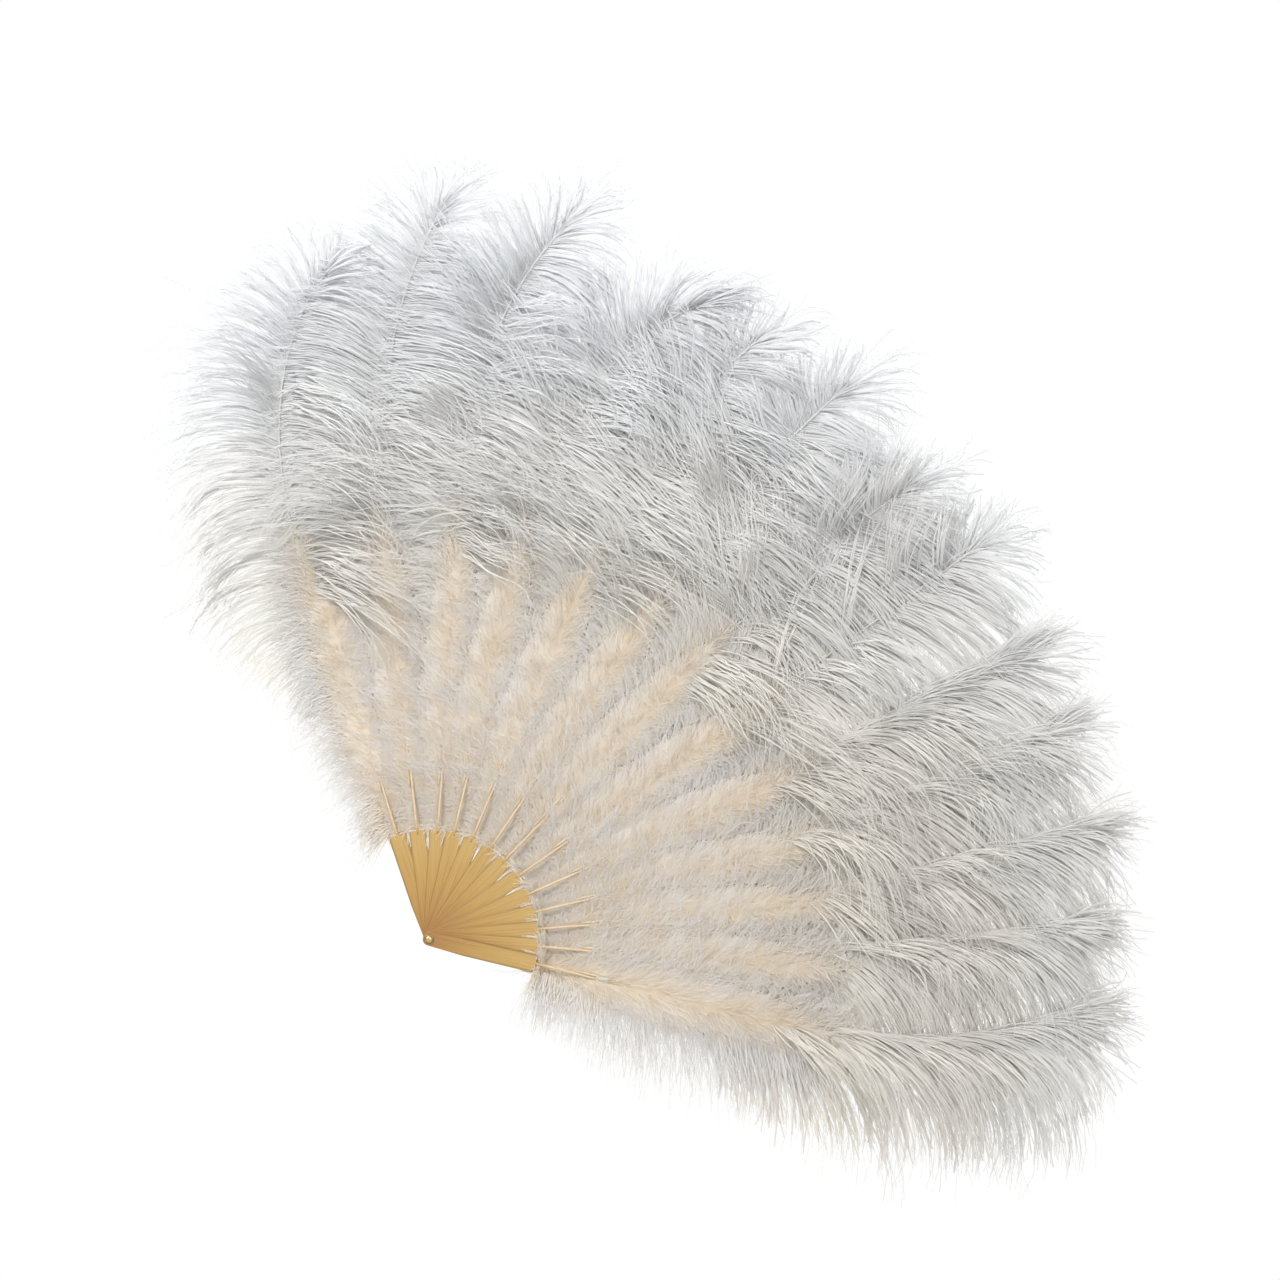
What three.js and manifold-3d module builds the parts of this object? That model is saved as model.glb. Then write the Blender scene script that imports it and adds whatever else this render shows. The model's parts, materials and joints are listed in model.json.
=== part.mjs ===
// A large folding feather fan, open and upright, seen from its front at negative Y.
// Thirteen bamboo staves turn on one rivet. Each stave narrows to a slim rib, and each rib carries
// a long ostrich plume behind and a short cream down plume in front, bound on with thread.
// The origin is on the rivet's axis, at the middle of the stack. X runs right and Z runs up.
import * as THREE from 'three';
import { mergeVertices } from 'three/addons/utils/BufferGeometryUtils.js';
import Module from 'manifold-3d';

// Driving dimensions: the stack of staves, in millimetres unless a name says otherwise
const spreadAngle = 121; // degrees from one guard to the other, fan wide open
const frontGuardAngle = -13; // degrees above the X axis
// where each stave stands in the spread, counted from the front guard
const spreadShares = [0, 0.074, 0.149, 0.223, 0.306, 0.397, 0.488, 0.57, 0.661, 0.744, 0.818, 0.909, 1];
const staveLength = 108; // rivet to shoulder
const staveThickness = 1.3;
const guardThickness = 2.4;
const layerGap = 0.3;
const neckLength = 36; // rivet to where the stave has widened
const staveHeadWidth = 12;
const staveNeckWidth = 15.2;
const staveEndWidth = 17;
const guardHeadWidth = 13;
const guardNeckWidth = 17.2;
const guardEndWidth = 18.5;
const shoulderSlope = 0.4; // how far the shoulder falls towards the rib
const cornerRadius = 2.2;
const edgeEase = 0.35;
const headSteps = 3;
const cornerSteps = 2;
const boreSides = 12;
const cutOverrun = 0.5; // cutting shapes stand out of what they cut by this much

// Driving dimensions: the rib that each stave narrows to
const ribWidth = 2.8;
const ribTipWidth = 1.8;
const ribLength = 88;
const ribSteps = 6;
const ribFillet = 1.6;

// Driving dimensions: the feathers' layers, which open like a wedge beyond the shoulder
const layerSpread = 5; // extra pitch far out
const layerSpreadReach = 85; // radius beyond the shoulder at which half of it is there
const curlStart = 550; // radius where the tips begin to lean forward
const curlReach = 185;
const curlDepth = 60;

// Driving dimensions: the rivet
const pinRadius = 1.9;
const pinClearance = 0.3;
const washerRadius = 4.6;
const washerThickness = 0.6;
const rivetHeadRadius = 3.4;
const rivetHeadHeight = 1.5;
const domeSteps = 4;
const pinSides = 20;
const washerSides = 24;

// Driving dimensions: the thread that binds a quill to its rib
const bindingStart = 62; // beyond the shoulder
const bindingLength = 14;
const threadThickness = 0.45;

// Driving dimensions: the ostrich plume
const plumeLength = 500; // its quill, along the curve
const plumeThickness = 1.4;
const quillStart = 45; // beyond the shoulder, beside the rib
const slotSpare = 8; // the down closes over the quill this far past the rib
const quillWidth = 2.2;
const quillTipWidth = 0.9;
const plumeLengthShares = [1, 0.91, 0.95, 0.93, 0.92, 0.97, 0.92, 0.99, 0.98, 1.04, 1.06, 1.09, 0.98];
// degrees: how each quill leans where it leaves its stave, and how far its tip turns
const plumeLeanAngles = [-3, 4, 3, 3, 0, 0, -1, 0, 0, 1, 0, 1, 4];
const plumeBendAngles = [30, 12, 14, 12, 6, 2, -12, -16, -30, -62, -46, -40, -62];
const bendSteps = 6; // within each stretch between two barb clumps
const tuftLength = 45;
const tuftWidth = 16;

// Driving dimensions: the clumps of barbs on each side of a plume's quill
const plumeBlades = 11;
const bladeLength = 150; // of the longest clump
const bladeLeastWidth = 6;
const bladeWidthShares = [0.84, 0.62]; // along a clump, of its room beside its neighbours
const bladeShortShare = 0.45; // a clump at either end of the quill, at its shortest
const bladeEndShares = [0.16, 0.9]; // where the first and last clumps stand on the arch of lengths
// degrees: a clump's turn away from its quill at the root, and the limits for its tip
const bladeRootAngle = 52;
const bladeLeastAngle = 30;
const bladeMostAngle = 152;
const bladeOverAngle = 60; // past straight up, the range in which a clump tips over to the other side

// Driving dimensions: the down plume
const downStart = 10; // beyond the shoulder
const downLength = 290;
const downWidth = 88;
const downThickness = 2.4;
const downLeastThickness = 0.4;
const downClearance = 0.45; // to the plume behind
const downLeastSide = 2.25; // beside the slot
const downLobes = 7; // on each side
const lobeDepth = 9;
const downNarrowShare = 0.12; // of the greatest width
const downEndShares = [0.1, 0.96]; // where the two ends stand on the arch of widths
const downFullShare = 0.3; // how far the fullest place is drawn towards the foot

const staveCount = spreadShares.length;
const middleLayer = (staveCount - 1) / 2;
const stavePitch = staveThickness + layerGap;
const ribEnd = staveLength + ribLength;
const slotEnd = ribEnd + slotSpare;
const stackHalf = ((staveCount - 2) * staveThickness + 2 * guardThickness + (staveCount - 1) * layerGap) / 2;
const degrees = Math.PI / 180;

// Layers: each stave's own feathers keep to one surface of revolution about the rivet's axis,
// so the fan folds without any feather crossing its neighbour.
function layerPitch(radius) {
  const reach = Math.max(0, radius - staveLength) / layerSpreadReach;
  return stavePitch + layerSpread * reach * reach / (1 + reach * reach);
}

function tipCurl(radius) {
  const reach = Math.max(0, radius - curlStart) / curlReach;
  return curlDepth * reach * reach / (1 + reach * reach);
}

function layerY(layer, radius) {
  return (layer - middleLayer) * layerPitch(radius) - tipCurl(radius);
}

function isGuard(layer) {
  return layer === 0 || layer === staveCount - 1;
}

function thicknessOf(layer) {
  return isGuard(layer) ? guardThickness : staveThickness;
}

// A guard's inner face keeps the place of a thin stave's, and its extra thickness goes outwards.
function staveY(layer) {
  const extra = (thicknessOf(layer) - staveThickness) / 2;
  return layerY(layer, 0) + Math.sign(layer - middleLayer) * extra;
}

// Materials
const bamboo = new THREE.MeshStandardMaterial({ color: '#d6aa60', roughness: 0.5, metalness: 0 });
const plumeWhite = new THREE.MeshStandardMaterial({ color: '#eeeef1', roughness: 0.9, metalness: 0 });
const downCream = new THREE.MeshStandardMaterial({ color: '#dccfba', roughness: 1, metalness: 0 });
const thread = new THREE.MeshStandardMaterial({ color: '#e4d8bf', roughness: 0.9, metalness: 0 });
const brass = new THREE.MeshStandardMaterial({ color: '#b08b4f', roughness: 0.35, metalness: 1 });
const bronze = new THREE.MeshStandardMaterial({ color: '#4b3222', roughness: 0.5, metalness: 0.8 });

// Joins a row of rings into one closed skin. Each ring has the same number of points, and they go
// anticlockwise as seen from the end that the rings run towards. The end rings are convex.
function makeSkin(rings) {
  const around = rings[0].length;
  const places = rings.flat().flatMap((point) => point.toArray());
  const triangles = [];
  for (let ring = 0; ring + 1 < rings.length; ring += 1) {
    for (let i = 0; i < around; i += 1) {
      const next = (i + 1) % around;
      const near = ring * around;
      const far = near + around;
      triangles.push(near + i, near + next, far + next, near + i, far + next, far + i);
    }
  }
  const last = (rings.length - 1) * around;
  for (let i = 1; i + 1 < around; i += 1) {
    triangles.push(0, i + 1, i, last, last + i, last + i + 1);
  }
  const geometry = new THREE.BufferGeometry();
  geometry.setAttribute('position', new THREE.Float32BufferAttribute(places, 3));
  geometry.setIndex(triangles);
  geometry.computeVertexNormals();
  return geometry;
}

const wasm = await Module();
wasm.setup();

function toSolid(geometry) {
  const bare = new THREE.BufferGeometry();
  bare.setAttribute('position', geometry.attributes.position);
  bare.setIndex(geometry.index);
  const merged = mergeVertices(bare);
  return new wasm.Manifold(new wasm.Mesh({
    numProp: 3,
    vertProperties: Float32Array.from(merged.attributes.position.array),
    triVerts: Uint32Array.from(merged.index.array),
  }));
}

function cutAway(geometry, tool) {
  const mesh = toSolid(geometry).subtract(toSolid(tool)).getMesh();
  const cut = new THREE.BufferGeometry();
  cut.setAttribute('position', new THREE.BufferAttribute(mesh.vertProperties, 3));
  cut.setIndex(new THREE.BufferAttribute(mesh.triVerts, 1));
  cut.computeVertexNormals();
  return cut;
}

// A stave's half width at places along it: a round head about the rivet, a widening neck, nearly
// straight sides, a square shoulder, and the slim rib, which has places all along so that it can
// follow its layer.
function staveStations(headWidth, neckWidth, endWidth) {
  const headHalf = headWidth / 2;
  const endHalf = endWidth / 2;
  const stations = [];
  for (let step = 1; step <= headSteps; step += 1) {
    const turn = Math.PI / 2 * step / headSteps;
    stations.push([-headHalf * Math.cos(turn), headHalf * Math.sin(turn)]);
  }
  stations.push([neckLength, neckWidth / 2]);
  for (let step = 0; step <= cornerSteps; step += 1) {
    const turn = Math.PI / 2 * step / cornerSteps;
    const along = staveLength - cornerRadius * (1 - Math.sin(turn));
    stations.push([along, endHalf - cornerRadius * (1 - Math.cos(turn))]);
  }
  const ribFoot = staveLength + shoulderSlope + ribFillet;
  stations.push([ribFoot - ribFillet, ribWidth / 2 + ribFillet]);
  stations.push([ribFoot, ribWidth / 2]);
  for (let step = 1; step <= ribSteps; step += 1) {
    const share = step / ribSteps;
    const along = THREE.MathUtils.lerp(ribFoot, ribEnd - ribTipWidth / 2, share);
    stations.push([along, THREE.MathUtils.lerp(ribWidth, ribTipWidth, share) / 2]);
  }
  stations.push([ribEnd, ribTipWidth / 4]);
  return stations;
}

// A stave is flat at the back, with its two front edges eased.
function makeStave(layer) {
  const half = thicknessOf(layer) / 2;
  const stations = isGuard(layer)
    ? staveStations(guardHeadWidth, guardNeckWidth, guardEndWidth)
    : staveStations(staveHeadWidth, staveNeckWidth, staveEndWidth);
  const rings = stations.map(([along, wide]) => {
    const ease = Math.min(edgeEase, wide / 2);
    const centre = staveY(layer) + layerShift(layer, along);
    return [
      new THREE.Vector3(along, centre + half, -wide),
      new THREE.Vector3(along, centre + half, wide),
      new THREE.Vector3(along, centre - half + ease, wide),
      new THREE.Vector3(along, centre - half, wide - ease),
      new THREE.Vector3(along, centre - half, ease - wide),
      new THREE.Vector3(along, centre - half + ease, -wide),
    ];
  });
  const boreRadius = pinRadius + pinClearance;
  const boreLength = 2 * (stackHalf + cutOverrun);
  return cutAway(makeSkin(rings), new THREE.CylinderGeometry(boreRadius, boreRadius, boreLength, boreSides));
}

// How far a layer has bent away, at a radius, from where it lies at the rivet.
function layerShift(layer, radius) {
  return layerY(layer, radius) - layerY(layer, 0);
}

// A flat sheet of faces, given a front and a back. The points are places on the fan's own plane, the
// faces go anticlockwise as seen from the front, and every free edge gets a wall.
function makeSlab(points, faces, frontAt, backAt) {
  const count = points.length;
  const places = [];
  for (const yAt of [frontAt, backAt]) {
    for (const point of points) {
      places.push(point.x, yAt(point.length()), point.y);
    }
  }
  const triangles = [];
  const edges = new Map();
  for (const face of faces) {
    for (let i = 1; i + 1 < face.length; i += 1) {
      triangles.push(face[0], face[i], face[i + 1]);
      triangles.push(face[0] + count, face[i + 1] + count, face[i] + count);
    }
    face.forEach((start, i) => {
      const end = face[(i + 1) % face.length];
      edges.set(`${start} ${end}`, [start, end]);
    });
  }
  for (const [start, end] of edges.values()) {
    if (!edges.has(`${end} ${start}`)) {
      triangles.push(end, start, start + count, end, start + count, end + count);
    }
  }
  const geometry = new THREE.BufferGeometry();
  geometry.setAttribute('position', new THREE.Float32BufferAttribute(places, 3));
  geometry.setIndex(triangles);
  geometry.computeVertexNormals();
  return geometry;
}

function stepFrom(point, heading, distance) {
  return new THREE.Vector2(point.x + distance * Math.cos(heading), point.y + distance * Math.sin(heading));
}

// A quill is straight at first and turns most near its tip.
function bendSoFar(share) {
  return share * share * Math.sqrt(share);
}

// The quill's centre line, with a station for each place where a clump of barbs begins.
function quillLine(start, lean, bend, length) {
  const stations = [];
  const stretch = length / plumeBlades;
  let place = start;
  for (let step = 0; step <= plumeBlades; step += 1) {
    const share = step / plumeBlades;
    stations.push({ place, heading: lean + bend * bendSoFar(share), share });
    for (let part = 0; part < bendSteps; part += 1) {
      const along = (step + (part + 1 / 2) / bendSteps) / plumeBlades;
      place = stepFrom(place, lean + bend * bendSoFar(along), stretch / bendSteps);
    }
  }
  return stations;
}

// How far a barb clump turns away from its quill at its tip, in radians: towards the ground on the
// quill's lower side, and forwards along the quill on its upper side.
function hangingTurn(heading, side, down) {
  const toGround = side * Math.atan2(Math.sin(down - heading), Math.cos(down - heading));
  const least = bladeLeastAngle * degrees;
  const most = bladeMostAngle * degrees;
  if (toGround > 0) {
    return THREE.MathUtils.clamp(toGround, least, most);
  }
  const past = THREE.MathUtils.smoothstep(Math.PI + toGround, 0, bladeOverAngle * degrees);
  return THREE.MathUtils.lerp(most, least, past);
}

// One clump of barbs: a tapered blade that leaves the quill between two of its stations and hangs over.
function addBlade(points, faces, rootBack, rootFront, station, nextStation, side, length, down) {
  const spacing = points[rootFront].distanceTo(points[rootBack]);
  const turn = hangingTurn(station.heading, side, down);
  // on the inside of the quill's bend the clumps close up, so they are narrower there
  const closing = Math.max(0, side * (nextStation.heading - station.heading));
  const segments = bladeWidthShares.length + 1;
  let place = points[rootBack].clone().lerp(points[rootFront], 1 / 2);
  let back = rootBack;
  let front = rootFront;
  for (let segment = 1; segment <= segments; segment += 1) {
    const share = (segment - 1 / 2) / segments;
    const angle = THREE.MathUtils.lerp(bladeRootAngle * degrees, turn, share);
    const heading = station.heading + side * angle;
    place = stepFrom(place, heading, length / segments);
    const tip = segment === segments;
    const room = spacing * Math.sin(angle) - closing * length * segment / segments;
    const half = tip ? 0 : Math.max(room, bladeLeastWidth) / 2 * bladeWidthShares[segment - 1];
    const nextBack = points.length;
    points.push(stepFrom(place, heading + side * Math.PI / 2, half));
    const nextFront = tip ? nextBack : nextBack + 1;
    if (!tip) {
      points.push(stepFrom(place, heading - side * Math.PI / 2, half));
    }
    const face = tip ? [back, front, nextFront] : [back, front, nextFront, nextBack];
    faces.push(side > 0 ? face : face.reverse());
    back = nextBack;
    front = nextFront;
  }
}

// An arch that rises from the least share to one and falls again
function archShare(leastShare, phaseShare) {
  return THREE.MathUtils.lerp(leastShare, 1, Math.sin(Math.PI * phaseShare));
}

// An ostrich plume lies in the rear half of its layer. Its quill starts beside the rib.
function makePlume(layer) {
  const down = (-90 - staveAngle(layer)) * degrees;
  const bladed = plumeLength * plumeLengthShares[layer];
  const besideRib = (ribWidth + quillWidth) / 2 + layerGap;
  const start = new THREE.Vector2(staveLength + quillStart, besideRib);
  const bound = start.clone().setX(staveLength + bindingStart + bindingLength);
  const foot = start.clone().setX(slotEnd);
  const lean = plumeLeanAngles[layer] * degrees;
  const bend = plumeBendAngles[layer] * degrees;
  const stations = quillLine(foot, lean, bend, bladed);
  const points = [];
  const faces = [];
  const addStation = (station) => {
    const half = THREE.MathUtils.lerp(quillWidth, quillTipWidth, station.share) / 2;
    points.push(stepFrom(station.place, station.heading - Math.PI / 2, half));
    points.push(stepFrom(station.place, station.heading + Math.PI / 2, half));
  };
  const bareStretch = [start, start.clone().lerp(bound, 1 / 2), bound];
  const bare = bareStretch.map((place) => ({ place, heading: 0, share: 0 }));
  bare.forEach(addStation);
  stations.forEach(addStation);
  const stationCount = points.length / 2;
  for (let i = 0; i + 1 < stationCount; i += 1) {
    faces.push([2 * i, 2 * i + 2, 2 * i + 3, 2 * i + 1]);
  }
  for (let blade = 0; blade < plumeBlades; blade += 1) {
    const first = 2 * (blade + bare.length);
    const phaseShare = THREE.MathUtils.lerp(...bladeEndShares, stations[blade].share);
    const length = bladeLength * archShare(bladeShortShare, phaseShare);
    addBlade(points, faces, first, first + 2, stations[blade], stations[blade + 1], -1, length, down);
    addBlade(points, faces, first + 1, first + 3, stations[blade], stations[blade + 1], 1, length, down);
  }
  const last = stations[plumeBlades];
  const lastRight = 2 * stationCount - 2;
  const lastLeft = 2 * stationCount - 1;
  const tuftRight = points.length;
  const tuftLeft = points.length + 1;
  const tuftTip = points.length + 2;
  const tuftMiddle = stepFrom(last.place, last.heading, tuftLength / 2);
  points.push(stepFrom(tuftMiddle, last.heading - Math.PI / 2, tuftWidth / 2));
  points.push(stepFrom(tuftMiddle, last.heading + Math.PI / 2, tuftWidth / 2));
  points.push(stepFrom(last.place, last.heading, tuftLength));
  faces.push([lastRight, tuftRight, tuftLeft, lastLeft], [tuftRight, tuftTip, tuftLeft]);
  const freeThickness = (radius) => Math.min(plumeThickness, layerPitch(radius) / 2 - layerGap);
  const thickness = (radius) => (radius > bound.x ? freeThickness(radius) : staveThickness);
  // in the binding the quill is level with the rib, and past it the quill moves to the rear
  const rearward = (radius) => THREE.MathUtils.smoothstep(radius, bound.x, slotEnd) * layerPitch(radius) / 4;
  const centre = (radius) => staveY(layer) + layerShift(layer, radius) + rearward(radius);
  return makeSlab(
    points,
    faces,
    (radius) => centre(radius) - thickness(radius) / 2,
    (radius) => centre(radius) + thickness(radius) / 2,
  );
}

// A down plume is a soft spindle in the front half of its layer, with a scalloped edge. Near the
// stave it grows on both sides of the rib, the quill and their binding, which lie in a slot.
function makeDown(layer) {
  const start = staveLength + downStart;
  const bindingReach = layerGap + threadThickness + layerGap;
  const slotRight = -ribWidth / 2 - bindingReach;
  const slotLeft = ribWidth / 2 + layerGap + quillWidth + bindingReach;
  const rows = 2 * downLobes + 1;
  const points = [];
  const faces = [];
  let wasPastSlot = false;
  for (let row = 0; row <= rows; row += 1) {
    const share = row / rows;
    const notch = row % 2 === 0 ? 0 : lobeDepth;
    const evenShare = THREE.MathUtils.lerp(...downEndShares, share);
    const phaseShare = evenShare + downFullShare * evenShare * (1 - evenShare);
    const width = downWidth * archShare(downNarrowShare, phaseShare) / 2 - notch / 2;
    // the scallop's crest leans outwards, as barbs do
    const along = start + downLength * share;
    const crest = along + (row % 2 === 0 ? lobeDepth : 0);
    points.push(new THREE.Vector2(crest, Math.min(-width, slotRight - downLeastSide)));
    points.push(new THREE.Vector2(along, slotRight));
    points.push(new THREE.Vector2(along, slotLeft));
    points.push(new THREE.Vector2(crest, Math.max(width, slotLeft + downLeastSide)));
    if (row > 0) {
      const base = 4 * (row - 1);
      for (const cell of [0, 1, 2]) {
        if (cell !== 1 || wasPastSlot) {
          faces.push([base + cell, base + cell + 4, base + cell + 5, base + cell + 1]);
        }
      }
    }
    wasPastSlot = along > slotEnd;
  }
  const thickness = (radius) => {
    const room = layerPitch(radius) / 2 - downClearance;
    return THREE.MathUtils.clamp(room, downLeastThickness, downThickness);
  };
  const centre = (radius) => layerY(layer, radius) - layerPitch(radius) / 4;
  return makeSlab(
    points,
    faces,
    (radius) => centre(radius) - thickness(radius) / 2,
    (radius) => centre(radius) + thickness(radius) / 2,
  );
}

// The binding is a flat sleeve of thread round the rib and the quill beside it.
function bindingTube(layer, wall, overrun) {
  const right = -ribWidth / 2 - layerGap - wall;
  const left = ribWidth / 2 + layerGap + quillWidth + layerGap + wall;
  const deep = thicknessOf(layer) / 2 + layerGap + wall;
  const start = staveLength + bindingStart;
  const places = [start - overrun, start + bindingLength / 2, start + bindingLength + overrun];
  return makeSkin(places.map((along) => {
    const centre = staveY(layer) + layerShift(layer, along);
    return [
      new THREE.Vector3(along, centre + deep, right),
      new THREE.Vector3(along, centre + deep, left),
      new THREE.Vector3(along, centre - deep, left),
      new THREE.Vector3(along, centre - deep, right),
    ];
  }));
}

function makeBinding(layer) {
  return cutAway(bindingTube(layer, threadThickness, 0), bindingTube(layer, 0, cutOverrun));
}

// The rivet runs through every head along Y, with a domed head at the front and a peened one behind.
const washerNear = stackHalf + layerGap;
const washerFar = washerNear + washerThickness;
const headNear = washerFar + layerGap;

function makeRivet() {
  const profile = [new THREE.Vector2(0, -headNear - rivetHeadHeight)];
  for (let step = 1; step <= domeSteps; step += 1) {
    const turn = Math.PI / 2 * step / domeSteps;
    const height = rivetHeadHeight * Math.cos(turn);
    profile.push(new THREE.Vector2(rivetHeadRadius * Math.sin(turn), -headNear - height));
  }
  profile.push(new THREE.Vector2(pinRadius, -headNear));
  profile.push(new THREE.Vector2(pinRadius, headNear));
  for (let step = domeSteps; step >= 1; step -= 1) {
    const turn = Math.PI / 2 * step / domeSteps;
    const height = rivetHeadHeight * Math.cos(turn);
    profile.push(new THREE.Vector2(rivetHeadRadius * Math.sin(turn), headNear + height));
  }
  profile.push(new THREE.Vector2(0, headNear + rivetHeadHeight));
  return new THREE.LatheGeometry(profile, pinSides);
}

function makeWasher(side) {
  const inner = pinRadius + pinClearance;
  const low = side < 0 ? -washerFar : washerNear;
  const high = low + washerThickness;
  const profile = [
    new THREE.Vector2(inner, low),
    new THREE.Vector2(washerRadius, low),
    new THREE.Vector2(washerRadius, high),
    new THREE.Vector2(inner, high),
    new THREE.Vector2(inner, low),
  ];
  return new THREE.LatheGeometry(profile, washerSides);
}

// Assembly
function staveAngle(layer) {
  return frontGuardAngle + spreadAngle * spreadShares[layer];
}

function named(name, geometry, material) {
  const mesh = new THREE.Mesh(geometry, material);
  mesh.name = name;
  return mesh;
}

function staveName(layer) {
  if (layer === 0) {
    return 'front_guard';
  }
  return layer === staveCount - 1 ? 'rear_guard' : `stave_${String(layer + 1).padStart(2, '0')}`;
}

const fan = new THREE.Group();
for (let layer = 0; layer < staveCount; layer += 1) {
  const number = String(layer + 1).padStart(2, '0');
  const blade = new THREE.Group();
  blade.rotation.y = -staveAngle(layer) * degrees;
  blade.add(named(staveName(layer), makeStave(layer), bamboo));
  blade.add(named(`plume_${number}`, makePlume(layer), plumeWhite));
  blade.add(named(`down_${number}`, makeDown(layer), downCream));
  blade.add(named(`binding_${number}`, makeBinding(layer), thread));
  fan.add(blade);
}
fan.add(named('pivot_rivet', makeRivet(), brass));
fan.add(named('front_washer', makeWasher(-1), bronze));
fan.add(named('rear_washer', makeWasher(1), bronze));

export default fan;
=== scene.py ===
# A large folding feather fan, open and upright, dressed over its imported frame.
import json
import math

import bmesh
import bpy
import numpy as np
from mathutils import Matrix, Vector

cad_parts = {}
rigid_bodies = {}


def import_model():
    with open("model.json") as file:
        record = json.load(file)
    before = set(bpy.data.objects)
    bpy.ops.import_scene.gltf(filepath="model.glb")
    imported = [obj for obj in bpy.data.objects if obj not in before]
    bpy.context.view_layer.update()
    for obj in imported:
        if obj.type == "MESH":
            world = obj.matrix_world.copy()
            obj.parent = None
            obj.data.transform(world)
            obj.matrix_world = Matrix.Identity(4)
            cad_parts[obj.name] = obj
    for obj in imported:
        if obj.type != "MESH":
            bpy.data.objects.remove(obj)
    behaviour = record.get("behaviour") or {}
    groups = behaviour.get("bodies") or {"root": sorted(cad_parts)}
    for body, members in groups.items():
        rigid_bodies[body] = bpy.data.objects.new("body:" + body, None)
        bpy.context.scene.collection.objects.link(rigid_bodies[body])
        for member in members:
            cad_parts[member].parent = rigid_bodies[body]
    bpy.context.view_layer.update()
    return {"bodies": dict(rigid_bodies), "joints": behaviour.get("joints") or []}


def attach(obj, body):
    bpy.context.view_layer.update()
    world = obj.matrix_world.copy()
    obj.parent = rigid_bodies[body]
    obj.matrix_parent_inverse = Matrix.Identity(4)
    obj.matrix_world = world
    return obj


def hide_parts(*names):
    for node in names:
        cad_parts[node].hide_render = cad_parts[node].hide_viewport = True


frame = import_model()


# The camera stands level, three metres in front of the open fan. Its frame is 1.28 m wide at the
# rivet's distance.
def placed(name, data):
    """Puts an object made of the data in the scene."""
    made = bpy.data.objects.new(name, data)
    bpy.context.scene.collection.objects.link(made)
    return made


camera_data = bpy.data.cameras.new("camera")
camera_data.sensor_width = 36.0
camera_data.lens = 84.4
camera = placed("camera", camera_data)
camera.location = (0.210, -3.0, 0.298)
camera.rotation_euler = (math.radians(90), 0, 0)
bpy.context.scene.camera = camera
bpy.context.scene.view_settings.view_transform = "Standard"


# The studio: a pale floor well below the fan, and a pale dome that is plain white where the camera, a
# mirror or glass sees it. Softboxes light the fan from in front, from its upper left and from behind.
def feed(tree, node, inputs):
    """Gives each of a node's inputs its value, or links it to the output that feeds it."""
    for name, value in inputs.items():
        if isinstance(value, bpy.types.NodeSocket):
            tree.links.new(value, node.inputs[name])
        else:
            node.inputs[name].default_value = value
    return node


def add_node(tree, kind, inputs, operation=None):
    node = tree.nodes.new(kind)
    if operation:
        node.operation = operation
    return feed(tree, node, inputs)


def maths(tree, operation, *values):
    return add_node(tree, "ShaderNodeMath", dict(enumerate(values)), operation).outputs[0]


def new_material(name):
    """A material, its node tree and its surface shader."""
    material = bpy.data.materials.new(name)
    material.use_nodes = True
    return material, material.node_tree, material.node_tree.nodes["Principled BSDF"]


def mesh_of(name, bm):
    mesh = bpy.data.meshes.new(name)
    bm.to_mesh(mesh)
    bm.free()
    return mesh


def softbox(name, place, aim, side, watts):
    """A square soft light, turned towards what it lights."""
    data = bpy.data.lights.new(name, "AREA")
    data.size = side
    data.energy = watts
    lamp = placed(name, data)
    lamp.location = place
    lamp.rotation_euler = (Vector(aim) - Vector(place)).to_track_quat("-Z", "Y").to_euler()


world = bpy.data.worlds.new("dome")
world.use_nodes = True
bpy.context.scene.world = world
sky = world.node_tree
sky.nodes.clear()
ray = add_node(sky, "ShaderNodeLightPath", {}).outputs
mirrored = maths(sky, "MAXIMUM", ray["Is Camera Ray"], ray["Is Glossy Ray"])
seen = maths(sky, "MAXIMUM", mirrored, ray["Is Transmission Ray"])
dome = add_node(sky, "ShaderNodeBackground", {"Color": (0.95, 0.975, 1.0, 1), "Strength": 0.205})
white = add_node(sky, "ShaderNodeBackground", {"Color": (1, 1, 1, 1)})
mix = add_node(sky, "ShaderNodeMixShader", {0: seen, 1: dome.outputs[0], 2: white.outputs[0]})
add_node(sky, "ShaderNodeOutputWorld", {"Surface": mix.outputs[0]})

floor_drop = 1.0
floor_side = 4.0
bm = bmesh.new()
bmesh.ops.create_grid(bm, x_segments=1, y_segments=1, size=floor_side / 2)
bmesh.ops.translate(bm, verts=bm.verts, vec=(camera.location.x, 0, -floor_drop))
floor = placed("floor", mesh_of("floor", bm))
matt, tree, shader = new_material("floor")
feed(tree, shader, {"Base Color": (0.9, 0.9, 0.9, 1), "Roughness": 0.9})
floor.data.materials.append(matt)

middle = (0.25, 0, 0.25)
softbox("front", (1.1, -3.0, 0.8), middle, 1.2, 21)
softbox("key", (-1.5, -2.0, 2.4), middle, 1.0, 94)
softbox("rim", (0.3, 2.2, 1.8), middle, 1.6, 70)


# The thirteen bamboo staves, split from the culm and planed flat. Each is pierced at its head for the
# rivet, and cut down beyond its shoulder to a slim rod that the feathers are bound to.
opened = {joint["child"]: math.radians(joint["range_deg"][1]) for joint in frame["joints"]}
stave_count = len(frame["bodies"])
middle_layer = (stave_count - 1) / 2
front_angle = math.radians(-13)
stave_angles = [front_angle + opened.get(f"blade_{i + 1:02d}", 0) for i in range(stave_count)]

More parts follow.
